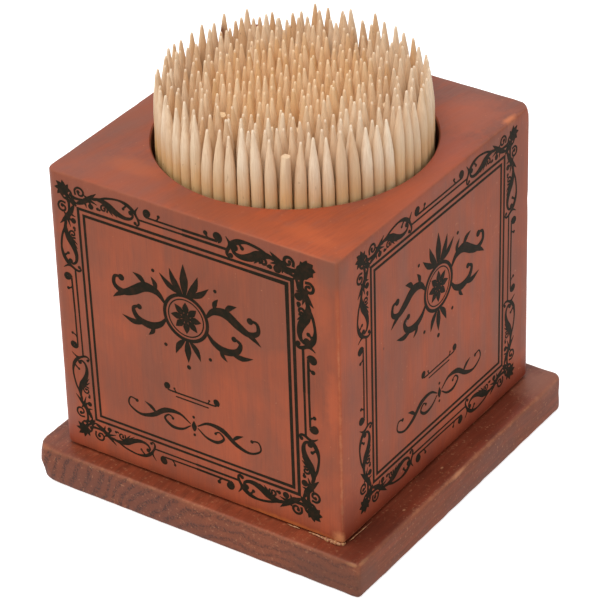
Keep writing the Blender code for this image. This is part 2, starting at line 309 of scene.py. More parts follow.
relief = add("Math MULTIPLY_ADD", {0: dash_share, 1: -1.6, 2: fibres})
relief = add("Bump", {"Height": relief, "Strength": 0.5, "Distance": 0.06 * MM})
set_inputs(shader, {"Base Color": colour, "Roughness": gloss, "Normal": relief, "Specular IOR Level": 0.3})

bm = make_board(BASE_LOW, BASE_HIGH, BASE_CORNER_ROUNDS, BASE_EDGE_ROUND)
cut_into_cells(bm, BASE_LOW, BASE_HIGH)
wear_edges(bm, BASE_LOW, BASE_HIGH, BASE_WEAR, BASE_DENTS)
base_piece = add_piece("stained_base_board", bm, base_finish, "root")
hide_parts("base_board")


# ---------------- bored block
# The block is one piece of close-grained wood, bored right through with a large
# bit and glued down on the base. A terracotta stain was brushed on thinly: it
# dried orange where it is thin and mauve brown where it pooled.

BLOCK_LOW, BLOCK_HIGH = (Vector(corner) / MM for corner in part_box("bored_block"))
BLOCK_CORNER_ROUNDS = (1.7, 0.6, 1.6, 1.6)
BLOCK_EDGE_ROUND = 0.4
BORE_AXIS = Vector((-0.05, 0.5))
BORE_RADIUS = 22.95
BORE_RIM_ROUND = 0.28
BORE_SIDES = 160
BORE_OVERRUN = 1.0
BLOCK_WEAR = 0.07
BLOCK_DENTS = ((26.5, 22.4, 59, 1.8, 0.15), (27.1, 28.85, 59.2, 2.3, 0.45), (27, 28.6, 41, 1.4, 0.2))
# Marks on the block: middle, reach each way, strength, colour
BLOCK_MARKS = (
    ((26.5, 22.4, 59), (0.75, 1.8, 2), 0.75, "D27C50"), ((23.5, 7.5, 59), (4.5, 9, 3), 0.55, "AC5239"),
    ((27.1, -9.6, 38.3), (0.5, 0.3, 0.35), 0.8, "3A1B14"),
    ((27.1, -16.2, 36.9), (0.5, 0.25, 0.3), 0.7, "3A1B14"),
    ((26.5, -28.5, 56.5), (3.2, 3.2, 3.4), 0.7, "7E4C39"), ((24.2, -28.9, 49.5), (2, 1, 5), 0.45, "B65833"),
    ((-16, -24, 59), (15, 7, 3), 0.5, "985038"), ((17, -28.7, 7.1), (10, 1, 0.8), 0.7, "C87038"),
    ((26.6, -28.8, 7.6), (1.6, 0.9, 1.6), 0.75, "D48C5C"),
    ((-26.5, -28.5, 9.5), (3.5, 1.5, 3.5), 0.45, "96402A"), ((26, -5, 59), (3.5, 13, 3), 0.6, "A0523A"),
    ((4, -26, 59), (13, 4.5, 3), 0.4, "8F4A30"), ((-25, -8, 59), (4, 10, 3), 0.65, "84503F"),
    ((17.5, -23.5, 59), (3.2, 2.2, 3), 0.4, "C05E35"), ((21.8, -24.5, 59), (3, 1.6, 3), 0.4, "C05E35"),
    ((20, 20, 59), (6.5, 7, 3), 0.5, "B45A3C"), ((-16, -21, 59), (6, 2.5, 3), 0.4, "B65F38"),
    ((-26.3, -28.7, 14.5), (2.2, 1, 6), 0.5, "87574A"), ((25.8, -28.8, 33), (1.7, 1, 6), 0.6, "BE5A33"),
    ((27.1, -26.5, 12), (1, 4, 4), 0.45, "6A2A18"), ((27.1, 26, 15), (1, 2.5, 3.5), 0.4, "6E4236"),
)


def tube_faces(loops):
    """The faces of a tube through loops of points, with its two ends closed."""
    faces = []
    for below, above in zip(loops, loops[1:]):
        faces += zip(below, below[1:] + below[:1], above[1:] + above[:1], above)
    return [*faces, loops[0][::-1], loops[-1]]


def bore_through(bm, bottom, top):
    """Bores a board through, with a slightly eased rim on top."""
    bore = bmesh.new()
    flared = BORE_RADIUS + BORE_RIM_ROUND + BORE_OVERRUN
    loops = []
    for height, radius in ((bottom - BORE_OVERRUN, BORE_RADIUS), (top - BORE_RIM_ROUND, BORE_RADIUS),
                           (top + BORE_OVERRUN, flared)):
        angles = (math.tau * step / BORE_SIDES for step in range(BORE_SIDES))
        points = (BORE_AXIS + radius * Vector((math.cos(a), math.sin(a))) for a in angles)
        loops.append([bore.verts.new((*point, height)) for point in points])
    for face in tube_faces(loops):
        bore.faces.new(face)
    board = new_object("uncut_block", new_mesh("uncut_block", bm))
    bit = new_object("boring_bit", new_mesh("boring_bit", bore))
    modifier = board.modifiers.new("bore", "BOOLEAN")
    modifier.operation = "DIFFERENCE"
    modifier.solver = "EXACT"
    modifier.object = bit
    cut = bmesh.new()
    cut.from_object(board, bpy.context.evaluated_depsgraph_get())
    for tool in (board, bit):
        bpy.data.objects.remove(tool, do_unlink=True)
    bmesh.ops.triangulate(cut, faces=cut.faces)
    return cut


# Terracotta oil stain, brushed on and wiped: satin, with broad soft clouds, thin
# upright streaks on the sides and brush strokes from front to back on top.
STROKE_ANGLE = math.radians(10)
block_finish, add, shader, place = new_finish("terracotta_oil_stained_wood")
split = add("SeparateXYZ", {0: place}).node.outputs
upward = add("TexCoord", {}, output=1)
upward = add("SeparateXYZ", {0: upward}, output=2)
upward = add("MapRange", {0: upward, 1: 0.45, 2: 0.9}, **SMOOTH)
clouds = add(
    "TexNoise", {"Vector": place, "Scale": 0.075, "Detail": 5, "Roughness": 0.6, "Distortion": 0.5})
clouds = add("MapRange", {0: clouds, 1: 0.34, 2: 0.66, 3: -0.3, 4: 0.45})
side_strokes = add_streaks(add, place, (0.34, 0.34, 0.02), 4)
turned = add("VectorRotate", {"Vector": place, "Angle": STROKE_ANGLE}, rotation_type="Z_AXIS")
top_strokes = add_streaks(add, turned, (0.42, 0.05, 0.42), 4)
strokes = add("Mix", {0: upward, 2: side_strokes, 3: top_strokes}, data_type="FLOAT")
strokes = add("MapRange", {0: strokes, 1: 0.35, 2: 0.65, 3: -0.2, 4: 0.3})
orange = add("Math ADD", {0: clouds, 1: strokes})
to_front = add("VectorMath DOT_PRODUCT", {0: place, 1: (1.2, -0.8, 0)}, output=1)
glow = add("MapRange", {0: to_front, 1: 16, 2: 52, 4: 0.7})
to_back = add("MapRange", {0: split[1], 1: 12, 2: 24, 4: 0.35})
glow = add("Math SUBTRACT", {0: glow, 1: to_back})
orange = add("Math MULTIPLY_ADD", {0: glow, 1: upward, 2: orange})
low_part = add("MapRange", {0: split[2], 1: 21, 2: 7}, **SMOOTH)
orange = add("Math MULTIPLY_ADD", {0: low_part, 1: 0.3, 2: orange})
edge = edge_distance_node(add, place, BLOCK_LOW, BLOCK_HIGH)
inside = add("VectorMath SUBTRACT", {0: place, 1: BLOCK_LOW})
inside = add("SeparateXYZ", {0: inside}).node.outputs
from_left_corner = add("Math MULTIPLY_ADD", {0: inside[1], 1: 10, 2: inside[0]})
from_rim = add("Math SUBTRACT", {0: BLOCK_HIGH.z, 1: split[2]})
from_rim = add("Math MINIMUM", {0: from_rim, 1: from_left_corner})
pooled = add("MapRange", {0: from_rim, 1: 5.5, 2: 0.5}, **SMOOTH)
sideways = add("Math SUBTRACT", {0: 1, 1: upward})
above = add("MapRange", {0: split[2], 1: 24, 2: 55, 3: 0.2, 4: 1}, **SMOOTH)
right_face = add("MapRange", {0: split[0], 1: 26.5, 2: 27}, **SMOOTH)
right_face = add("Math MULTIPLY", {0: right_face, 1: sideways})
higher = add("Math MULTIPLY", {0: above, 1: sideways})
pooled = add("Math MULTIPLY", {0: pooled, 1: higher})
lift = add("Math MULTIPLY_ADD", {0: right_face, 1: 0.27, 2: -0.3})
orange = add("Math MULTIPLY_ADD", {0: higher, 1: lift, 2: orange})
pooled_depth = add("Math MULTIPLY_ADD", {0: right_face, 1: 0.25, 2: -0.45})
orange = add("Math MULTIPLY_ADD", {0: pooled, 1: pooled_depth, 2: orange})
near_front = add("MapRange", {0: split[1], 1: -6, 2: -27, 4: 0.3})
near_front = add("Math MULTIPLY", {0: near_front, 1: right_face})
orange = add("Math ADD", {0: orange, 1: near_front})
orange = add("Math ADD", {0: orange, 1: 0.36}, use_clamp=True)
colour = add("Mix", {0: upward, 6: "8B4A32", 7: "835144"}, **RGBA)
thick = add("TexNoise", {"Vector": place, "Scale": 0.055, "Detail": 3, "W": 4}, noise_dimensions="4D")
thick = add("MapRange", {0: thick, 1: 0.42, 2: 0.66, 4: 0.28}, **SMOOTH)
fibres_side = add("VectorMath MULTIPLY", {0: place, 1: (3.4, 3.4, 0.16)})
fibres_top = add("VectorMath MULTIPLY", {0: turned, 1: (2.6, 0.3, 2.6)})
fibres = add("Mix", {0: upward, 4: fibres_side, 5: fibres_top}, output=1, data_type="VECTOR")
fibres = add("TexNoise", {"Vector": fibres, "Scale": 1, "Detail": 3, "Roughness": 0.6})
fibre_share = add("MapRange", {0: fibres, 1: 0.4, 2: 0.75, 4: 0.3})
# Darker at the foot of the block's sides, most on the right face: partly stain pooled at the joint, partly
# painted shade.
foot = add("Math MULTIPLY_ADD", {0: clouds, 1: 3, 2: split[2]})
foot = add("MapRange", {0: foot, 1: 15, 2: 6.5}, **SMOOTH)
foot_stain_and_shade_strength = add("Math MULTIPLY_ADD", {0: right_face, 1: 0.55, 2: 0.2})
foot = add("Math MULTIPLY", {0: foot, 1: foot_stain_and_shade_strength})
flecks = add("TexNoise", {"Vector": place, "Scale": 1.5, "Detail": 2})
flecks = add("MapRange", {0: flecks, 1: 0.7, 2: 0.8, 4: 0.4})
chipping = add("TexNoise", {"Vector": place, "Scale": 0.5, "Detail": 5, "Roughness": 0.7})
ragged = add("Math MULTIPLY_ADD", {0: chipping, 1: 1.2, 2: edge})
worn = add("MapRange", {0: ragged, 1: 1.05, 2: 0.6}, **SMOOTH)
below_rim = add("MapRange", {0: split[2], 1: 54, 2: 40, 3: 0.15, 4: 0.7}, **SMOOTH)
worn = add("Math MULTIPLY", {0: worn, 1: below_rim})
colour = add_washes(add, colour, (
    (pooled, "894933"), (orange, "AE5331"), (thick, "6F3824"), (fibre_share, "6E3A2D"),
    (foot, "661A07"), (flecks, "D08A62"), (worn, "C07A54"),
))
colour = add_marks(add, place, chipping, colour, BLOCK_MARKS)
from_axis = add("VectorMath SUBTRACT", {0: place, 1: (*BORE_AXIS, 0)})
from_axis = add("VectorMath MULTIPLY", {0: from_axis, 1: (1, 1, 0)})
from_axis = add("VectorMath LENGTH", {0: from_axis}, output=1)
bored = add("MapRange", {0: from_axis, 1: BORE_RADIUS + 0.12, 2: BORE_RADIUS + 0.02})
colour = add_washes(add, colour, ((bored, "5C3022"),))
gloss = add("MapRange", {0: strokes, 1: -0.3, 2: 0.5, 3: 0.5, 4: 0.62})
relief = add("Bump", {"Height": fibres, "Strength": 0.4, "Distance": 0.04 * MM})
set_inputs(shader, {"Base Color": colour, "Roughness": gloss, "Normal": relief, "Specular IOR Level": 0.25})

bm = make_board(BLOCK_LOW, BLOCK_HIGH, BLOCK_CORNER_ROUNDS, BLOCK_EDGE_ROUND)
bm = bore_through(bm, BLOCK_LOW.z, BLOCK_HIGH.z)
cut_into_cells(bm, BLOCK_LOW, BLOCK_HIGH)
wear_edges(bm, BLOCK_LOW, BLOCK_HIGH, BLOCK_WEAR, BLOCK_DENTS)
block_piece = add_piece("stained_block", bm, block_finish, "root")
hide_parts("bored_block")


# ---------------- glue joint
# White wood glue holds the block on the base. It fills the joint a little way in
# from the edge, and a few beads squeezed out at the front corner and dried hard
# and yellowish with sanding dust in them.

GLUE_INSET = 0.7
GLUE_GAP = 0.01
BEAD_SIDES, BEAD_RINGS = 10, 26
BEAD_HEIGHT = 0.75  # of its breadth
LUMPINESS, LUMPS_PER_MM = 0.85, 3.1
BEAD_CORNER = Vector((BLOCK_HIGH.x - 0.15, BLOCK_LOW.y + 0.15, BASE_HIGH.z + 0.2))
# Each bead: its path in x and y from the front corner, its radii along the path, and the seed of its lumps
BEADS = (
    (((-6.5, -0.1), (-0.4, -0.18), (0.12, 0.5)), (0.03, 0.2, 0.15, 0.32, 0.42, 0.44, 0.15), 1),
    (((-10.6, -0.05), (-8.2, -0.1)), (0.03, 0.14, 0.05), 5),
    (((0.3, 1.3), (0.4, 4), (0.5, 7.5)), (0.02, 0.12, 0.04, 0.09, 0.03, 0.02), 9),
)


def lumpy_bead(bm, path, radii, seed):
    """A bead of glue along a path: a closed tube whose thickness and lie vary."""
    lengths = [(b - a).length for a, b in zip(path, path[1:])]
    along = np.concatenate([[0], np.cumsum(lengths)])
    spots = np.linspace(0, along[-1], BEAD_RINGS)
    middle = np.column_stack([np.interp(spots, along, [p[a] for p in path]) for a in range(3)])
    thickness = np.interp(np.linspace(0, 1, BEAD_RINGS), np.linspace(0, 1, len(radii)), radii)
    loops = []
    for spot, ahead, radius in zip(middle, np.gradient(middle, axis=0), thickness):
        side = Vector(ahead).cross(Vector((0, 0, 1))).normalized()
        loop = []
        for step in range(BEAD_SIDES):
            angle = math.tau * step / BEAD_SIDES
            away = side * math.cos(angle) + Vector((0, 0, BEAD_HEIGHT)) * math.sin(angle)
            lump = 1 + LUMPINESS * noise.noise(Vector(spot) * LUMPS_PER_MM + away + Vector((seed, 0, 0)))
            loop.append(bm.verts.new(Vector(spot) + away * radius * lump))
        loops.append(loop)
    for before, after in zip(loops, loops[1:]):
        for step in range(BEAD_SIDES):
            following = (step + 1) % BEAD_SIDES
            bm.faces.new((before[step], after[step], after[following], before[following]))
    bm.faces.new(loops[0])
    bm.faces.new(loops[-1][::-1])


# Dried wood glue: pale yellow-brown, slightly translucent, with a soft shine.
glue_finish, add, shader, place = new_finish("dried_wood_glue")
dust = add("TexNoise", {"Vector": place, "Scale": 2.2, "Detail": 4, "Roughness": 0.65})
dust = add("MapRange", {0: dust, 1: 0.4, 2: 0.62}, **SMOOTH)
colour = add("Mix", {0: dust, 6: "BE8E60", 7: "8E4E33"}, **RGBA)
set_inputs(shader, {"Base Color": colour, "Roughness": 0.48})

bm = bmesh.new()
for path, radii, seed in BEADS:
    lumpy_bead(bm, [BEAD_CORNER + Vector((*step, 0)) for step in path], radii, seed)
bmesh.ops.recalc_face_normals(bm, faces=bm.faces)
add_piece("glue_squeeze_out", bm, glue_finish, "root")

inset = Vector((GLUE_INSET, GLUE_INSET, 0))
film_low = Vector((*BLOCK_LOW.xy, BASE_HIGH.z + GLUE_GAP)) + inset
film_high = Vector((*BLOCK_HIGH.xy, BLOCK_LOW.z - GLUE_GAP)) - inset
bm = make_board(film_low, film_high, BLOCK_CORNER_ROUNDS, GLUE_GAP)
bm = bore_through(bm, BASE_HIGH.z, BLOCK_LOW.z + BORE_RIM_ROUND + BORE_OVERRUN)
add_piece("glue_film", bm, glue_finish, "root")


# ---------------- printed frame
# Each side is printed with a double ruled frame, scrolled leaves at the corners
# and thin rules with curled ends between them. In the frame stand a scrolled
# rosette, a short double rule and a pen flourish. The ink is one thin layer.

FRAME_WIDTH, FRAME_HEIGHT = 40.3, 40.0
FRAME_LINE, THIN_LINE = 0.44, 0.3
LEAST_LOAD = 0.9  # of ink on the frame lines
CORNER_DIRECTIONS = np.array([(-1, -1), (1, -1), (-1, 1), (1, 1)])
INNER_FRAME_INSET = 1.04
INK_THICKNESS = 0.03
INK_SINK = 0.02
STROKE_STEPS, CURL_STEPS = 5, 9
CURL_CLOSING = 0.72
LEAST_CELL = 1e-6
WELD_REACH = 1e-4


def smooth_path(points, widths):
    """Points and widths of a smooth curve that passes through all the given points."""
    points = np.array(points, float)
    padded = np.vstack([2 * points[0] - points[1], points, 2 * points[-1] - points[-2]])
    found = []
    for index in range(1, len(padded) - 2):
        a, b, c, d = padded[index - 1:index + 3]
        for t in np.arange(STROKE_STEPS) / STROKE_STEPS:
            found.append(0.5 * (2 * b + (c - a) * t + (2 * a - 5 * b + 4 * c - d) * t ** 2
                                + (3 * b - a - 3 * c + d) * t ** 3))
    found.append(points[-1])
    spread = np.interp(np.linspace(0, 1, len(found)), np.linspace(0, 1, len(widths)), widths)
    return np.array(found), spread


def stroke(points, widths):
    """A pen stroke as a strip of four-sided cells, with its full width at each share of its length."""
    path, spread = smooth_path(points, widths)
    ahead = np.gradient(path, axis=0)
    ahead /= np.linalg.norm(ahead, axis=1)[:, None] + 1e-9
    side = np.column_stack([-ahead[:, 1], ahead[:, 0]]) * spread[:, None] / 2
    left, right = path + side, path - side
    return [np.array([right[i], right[i + 1], left[i + 1], left[i]]) for i in range(len(path) - 1)]


def dot(centre, radius, sides=14):
    """A filled round dot."""
    turns = np.arange(sides) * math.tau / sides
    return [np.array(centre) + radius * np.column_stack([np.cos(turns), np.sin(turns)])]


def curl(centre, radius, start, sweep, width, end_dot=0.3):
    """A spiral stroke that winds in from radius, with a dot at its heart; angles in degrees."""
    shares = np.linspace(0, 1, CURL_STEPS)
    angles = np.radians(start + sweep * shares)
    reach = radius * (1 - CURL_CLOSING * shares)
    points = np.array(centre) + reach[:, None] * np.column_stack([np.cos(angles), np.sin(angles)])
    return stroke(points, (width, width * 1.1, width * 0.8)) + dot(points[-1], radius * end_dot)


def leaf(root, tip, belly, bend=0.0):
    """A pointed leaf from root to tip that swells to belly and bows sideways by bend."""
    root, tip = np.array(root, float), np.array(tip, float)
    ahead = tip - root
    side = np.array([-ahead[1], ahead[0]]) / (np.linalg.norm(ahead) + 1e-9)
    middle = (root + tip) / 2 + side * bend
    return stroke([root, middle, tip], (belly * 0.3, belly * 0.85, belly, belly * 0.6, 0.03))


def turn(cells, degrees):
    """The cells turned about the middle."""
    angle = math.radians(degrees)
    spin = np.array([[math.cos(angle), math.sin(angle)], [-math.sin(angle), math.cos(angle)]])
    return [cell @ spin for cell in cells]


def ring(centre, radius, width, sides=40):
    """A closed circle line."""
    turns = np.arange(sides + 1) * math.tau / sides
    around = np.column_stack([np.cos(turns), np.sin(turns)])
    inside, outside = (np.array(centre) + around * (radius + side * width / 2) for side in (-1, 1))
    return [np.array([inside[i], outside[i], outside[i + 1], inside[i + 1]]) for i in range(sides)]


def half_side(length, load):
    """The ornament from a corner to the middle of a side: x runs along the frame, y away from it."""
    lines = [
        # Branch that springs from the corner, with its berry and leaves
        ([(-0.1, 1), (0.9, 1.4), (2, 2.2), (3, 3.05), (3.85, 3.8)], (0.3, 0.8, 0.85, 0.5, 0.05)),
        ([(-1.5, 2.2), (-0.6, 1.75), (0.4, 1.75), (1.2, 1.9)], (0.6, 0.5, 0.4, 0.3)),
        ([(-2, 3.3), (-1.2, 2.6), (-0.95, 1.6), (-0.3, 0.85), (0.9, 1)], (0.24, 0.36, 0.36, 0.34, 0.1)),
        ([(-1.9, 1.9), (-1.1, 1.2), (-0.2, 0.35)], (0.2, 0.44, 0.1)),
        ([(1.3, 2.9), (2.3, 2.3), (3.9, 1.75)], (0.1, 0.6, 0.05)),
        ([(1.9, 2), (2.5, 1.75), (2.62, 1.2)], (0.4, 0.36, 0.3)),
        ([(1.2, 1.6), (1.6, 1.2), (1.75, 0.6)], (0.4, 0.34, 0.05)),
        # Long outer leaf and the swelling stem inside it
        ([(2.6, 2.6), (3.4, 2.65), (4.5, 3), (5.9, 3.6), (8.1, 3.95), (9.7, 3.65), (10.8, 2.95), (11.3, 2.2)],
         (0.25, 0.46, 0.4, 0.34, 0.32, 0.62, 0.66, 0.3)),
        ([(3.2, 2.75), (4.7, 2.8), (6.2, 2.35), (7.6, 1.5), (9.1, 1.08), (10.3, 1.3), (10.8, 2), (10.4, 2.5)],
         (0.3, 0.75, 1, 0.92, 0.62, 0.42, 0.36, 0.3)),
        ([(9.7, 3.55), (9.3, 3.1), (9, 2.75)], (0.36, 0.3, 0.24)),
        ([(5.4, 2.5), (6.4, 1.7), (7.7, 0.75)], (0.3, 0.5, 0.05)),
        ([(5.9, 2), (6.4, 1.3), (6.9, 0.7)], (0.26, 0.34, 0.05)),
        ([(4.5, 1.15), (4.3, 0.95), (4, 1.05)], (0.24, 0.26, 0.22)),
        # Bracket with two hooks, where the thin rule begins
        ([(11.1, 0.7), (11.5, 0.45), (11.85, 0.85), (11.75, 1.55), (11.35, 2.3), (11.35, 3), (11.95, 3.9)],
         (0.26, 0.28, 0.36, 0.42, 0.42, 0.34, 0.08)),
        ([(11.8, 1.6), (length, 1.6)], (THIN_LINE, THIN_LINE)),
        # Rule with a curled end and a budding tick
        ([(13.6, 2.5), (length, 2.45)], (THIN_LINE, THIN_LINE)),
        ([(15, 2.5), (15.45, 2.7), (15.75, 3.3)], (0.24, 0.26, 0.2)),
    ]
    cells = [cell for points, widths in lines for cell in stroke(points, np.array(widths) * load)]
    cells += curl((0.62, 3), 1.1, 215, -410, 0.32 * load)
    cells += curl((5.15, 1.5), 0.8, -40, 430, 0.28 * load)
    cells += curl((13.65, 3.25), 0.72, -95, -330, 0.5 * load, 0.55)
    for centre, radius in (((2.62, 1.1), 0.46), ((10.4, 2.38), 0.4), ((9, 2.7), 0.24), ((3.95, 1.08), 0.26),
                           ((11.15, 0.75), 0.28), ((15.75, 3.35), 0.26)):
        cells += dot(centre, radius * load)
    return cells


def fleuron(load):
    """The spiky flower outside each corner of the frame."""
    centre = np.array((2.6, 2.6))
    cells = dot(centre, 0.85 * load)
    for degrees, length, belly in (
            (45, 1.85, 0.95), (5, 1.75, 0.85), (85, 1.75, 0.85), (-38, 1.6, 0.8), (128, 1.6, 0.8),
            (225, 1.9, 0.7), (-80, 1.35, 0.6), (170, 1.35, 0.6)):
        tip = centre + length * np.array((math.cos(math.radians(degrees)), math.sin(math.radians(degrees))))
        cells += leaf(centre, tip, belly * load, 0.12)
    return cells


def mirrored(cells):
    """The cells and their mirror image to the left."""
    return cells + [cell[::-1] * (-1, 1) for cell in cells]


def rosette():
    """A rosette in a ring, with scrolled leaves to both sides, a palmette above and a pendant below."""
    half = [
        *stroke([(3.9, 1.4), (5.4, 3), (7.7, 3.3), (10, 1.9), (12, 1), (13.7, 1.8), (13.6, 3.4), (12.3, 3.7)],
                (0.4, 1.2, 1.8, 1.6, 1.1, 0.8, 0.6, 0.4)),
        *dot((12.3, 3.55), 0.6),
        *leaf((7.6, 3.6), (9.9, 5.3), 1, 0.35),
        *leaf((5.6, 3.3), (6.4, 5.6), 0.9, 0.3),
        *leaf((11.4, 0.9), (14.2, -0.6), 0.8, 0.25),
        *stroke([(3.9, -1.4), (5.2, -2.9), (7.3, -3.7), (9.5, -3.1), (10.3, -1.5), (9.2, -0.7)],
                (0.4, 1, 1.4, 1.1, 0.7, 0.4)),
        *dot((9.1, -0.85), 0.5),
        *leaf((8.2, -3.6), (12.6, -3.4), 1, -0.5),
        *leaf((6.4, -3.5), (7.6, -5.6), 0.8, -0.3),
        *leaf((0.5, 4.2), (2.7, 8.4), 1.3, -0.35),
        *leaf((0.9, 4.2), (4.7, 6.9), 1.1, -0.35),
        *leaf((0.5, -4.2), (2.4, -7.3), 1.1, 0.3),
        *dot((5.9, 6.9), 0.32),
        *dot((4.3, -6.3), 0.32),
    ]
    cells = mirrored(half) + leaf((0, 4.2), (0, 9.9), 1.6) + leaf((0, -4.2), (0, -8.3), 1.3)
    cells += dot((0, -9.2), 0.4) + dot((0, 0), 0.8) + ring((0, 0), 4.1, 0.62) + ring((0, 0), 3.35, 0.22)
    for step in range(8):
        cells += turn(leaf((0.7, 0), (2.9, 0), 1.25), 45 * step)
    return cells


def short_double_rule():
    """A short rule with curled ends over a plain one."""
    half = [
        *stroke([(0, 0), (4.2, 0), (4.75, 0.3)], (0.28, 0.28, 0.34)),
        *curl((4.7, 0.75), 0.6, -70, 320, 0.42, 0.6),
        *stroke([(2.9, 0), (3.2, 0.15), (3.4, 0.6)], (0.22, 0.24, 0.2)),
        *dot((3.4, 0.62), 0.2),
        *stroke([(0, -0.8), (3.2, -0.8)], (0.26, 0.22)),
    ]
    return mirrored(half)


def pen_flourish():
    """Two crossing pen loops to each side of a small lozenge."""
    half = [
        *stroke([(0.7, 0.2), (2.8, 1.4), (5.6, 1.1), (8.2, -0.7), (10.8, -1.4), (12.9, -0.3), (12.6, 1.2),
                 (11.3, 1.1)], (0.2, 0.5, 0.95, 0.8, 0.45, 0.3, 0.28, 0.24)),
        *dot((11.3, 1), 0.32),
        *stroke([(0.7, -0.2), (2.4, -1.4), (4.4, -1.6), (5.8, -0.5), (5, 0.45), (4.1, 0.1)],
                (0.2, 0.42, 0.6, 0.42, 0.28, 0.24)),
        *dot((4.2, 0), 0.26),
        *leaf((7.4, -0.2), (9.7, 1.4), 0.65, 0.2),
    ]
    return mirrored(half) + leaf((0, -1), (0, 1), 1) + dot((0, 1.7), 0.26) + dot((0, -1.7), 0.26)


def ruled_frame(width, height, loads):
    """Four lines whose middles form a rectangle, each end as thick as its corner's load of ink makes it."""
    corners = [away * (width / 2, height / 2) for away in CORNER_DIRECTIONS]
    cells = []
    for first, last in ((0, 1), (1, 3), (3, 2), (2, 0)):
        start, end = (FRAME_LINE * max(LEAST_LOAD, loads[which]) for which in (first, last))
        shares = (0, 0.25, 0.5, 1) if start > end else (0, 0.5, 0.75, 1)
        path = [corners[first] + (corners[last] - corners[first]) * share for share in shares]
        cells += stroke(path, (start, min(start, end), min(start, end), end))
        cells.append(corners[first] + start / 2 * np.array([(-1, -1), (1, -1), (1, 1), (-1, 1)]))
    return cells


def printed_cells(loads):
    """All cells of one side's print, in millimetres from the middle of its frame."""
    cells = ruled_frame(FRAME_WIDTH, FRAME_HEIGHT, loads)
    inset = 2 * INNER_FRAME_INSET
    cells += ruled_frame(FRAME_WIDTH - inset, FRAME_HEIGHT - inset, loads)
    for away, load in zip(CORNER_DIRECTIONS, loads):
        corner = away * (FRAME_WIDTH / 2, FRAME_HEIGHT / 2)
        quarter = fleuron(load) + [cell * (-1, 1) for cell in half_side(FRAME_WIDTH / 2, load)]
        quarter += [cell[:, ::-1] * (1, -1) for cell in half_side(FRAME_HEIGHT / 2, load)]
        cells += [corner + away * cell for cell in quarter]
    for centre, drawing in (((-0.3, 6.2), rosette()), ((-0.1, -8.75), short_double_rule()),
                            ((0, -14.1), pen_flourish())):
        cells += [cell + centre for cell in drawing]
    return cells


def merged(cells):
    """One flat triangle mesh that covers all cells."""
    points, faces = [], []
    for cell in cells:
        hull = [Vector(cell[i]) for i in geometry.convex_hull_2d([Vector(point) for point in cell])]
        area = sum(a.cross(b) for a, b in zip(hull, hull[1:] + hull[:1]))
        if abs(area) > LEAST_CELL:
            faces.append(list(range(len(points), len(points) + len(hull))))
            points += hull if area > 0 else hull[::-1]
    corners, _, triangles, _, _, covering = geometry.delaunay_2d_cdt(points, [], faces, 0, WELD_REACH)
    inked = [tuple(triangle) for triangle, cover in zip(triangles, covering) if cover]
    return np.array([tuple(corner) for corner in corners]), inked


# Screen-printing ink: a faded warm black, matt, a little thin in places so that the
# stain's brown shows through.
ink_finish, add, shader, place = new_finish("screen_printing_ink")
thin = add("TexNoise", {"Vector": place, "Scale": 0.9, "Detail": 5, "Roughness": 0.7})
thin = add("MapRange", {0: thin, 1: 0.45, 2: 0.75, 4: 0.6})
colour = add("Mix", {0: thin, 6: "1F1B11", 7: "40281C"}, **RGBA)
set_inputs(shader, {"Base Color": colour, "Roughness": 0.6, "Specular IOR Level": 0.05})

# Each side's print: the corners of its outer frame line, lower left, lower right, upper left, upper right,
# how heavily each corner was inked, and where a point of the print lies
PRINTS = {
    "front": (((-21.02, 13.5), (18.97, 13.58), (-21.73, 53.46), (18.85, 53.46)), (0.95, 1.35, 1.1, 1.6),
              lambda across, up, out: (across, BLOCK_LOW.y - out, up)),
    "right": (((-19.69, 13.58), (19.68, 13.58), (-19.48, 53.46), (20.1, 53.46)), (1.15, 1.05, 1.15, 1.1),
              lambda across, up, out: (BLOCK_HIGH.x + out, across, up)),
    "back": (((-19.75, 13.54), (20.55, 13.54), (-19.75, 53.46), (20.55, 53.46)), (1.1, 1, 1.1, 1.05),
             lambda across, up, out: (-across, BLOCK_HIGH.y + out, up)),
    "left": (((-20.25, 13.54), (20.05, 13.54), (-20.25, 53.46), (20.05, 53.46)), (1, 1.1, 1.05, 1.1),
             lambda across, up, out: (BLOCK_LOW.x - out, -across, up)),
}
for side, (corners, loads, put) in PRINTS.items():
    print_points, print_faces = merged(printed_cells(loads))
    sides = {(a, b) for face in print_faces for a, b in zip(face, face[1:] + face[:1])}
    rim_edges = [(a, b) for a, b in sorted(sides) if (b, a) not in sides]
    low_left, low_right, high_left, high_right = np.array(corners)
    shares = print_points / (FRAME_WIDTH, FRAME_HEIGHT) + 0.5
    x, y = shares[:, :1], shares[:, 1:]
    flat = (1 - y) * ((1 - x) * low_left + x * low_right) + y * ((1 - x) * high_left + x * high_right)
    bm = bmesh.new()
    outer = [bm.verts.new(put(across, up, INK_THICKNESS)) for across, up in flat]
    inner = [bm.verts.new(put(across, up, -INK_SINK)) for across, up in flat]
    for face in print_faces:
        bm.faces.new([outer[i] for i in face])
        bm.faces.new([inner[i] for i in reversed(face)])
    for a, b in rim_edges:
        bm.faces.new((inner[a], inner[b], outer[b], outer[a]))
    add_piece(f"print_{side}", bm, ink_finish, "root")


# ---------------- toothpicks
# Round birch toothpicks stand loose in the bore, points up and down. Each was
# turned from a split stick, so its fibres run lengthways and its point is
# slightly rounded with a blunt pale end. A few have lost their points.

PICK_RADIUS = 1.05
PICK_SEAT = 7.7
PICK_SIDES = 12
# How long the points and how thick the shafts are, against the usual
STRETCHES, GIRTHS = (0.86, 1.04), (0.95, 1.0)
UNEVENNESS = 0.02
TIE_TOP = 7.5
END_VERTICES = 5
BROKEN_END_RADIUS = 0.4
BEND_FROM = 48.0
MOST_BEND = 0.5
MOST_SHORTENING = 1.0
# One toothpick at the front has snapped off below its point
SNAPPED_PLACE = np.array((10.6, -17.9))
SNAPPED_OFF = 2.7
SNAPPED_TONE = 0.8
LOST_POINT = 4.5
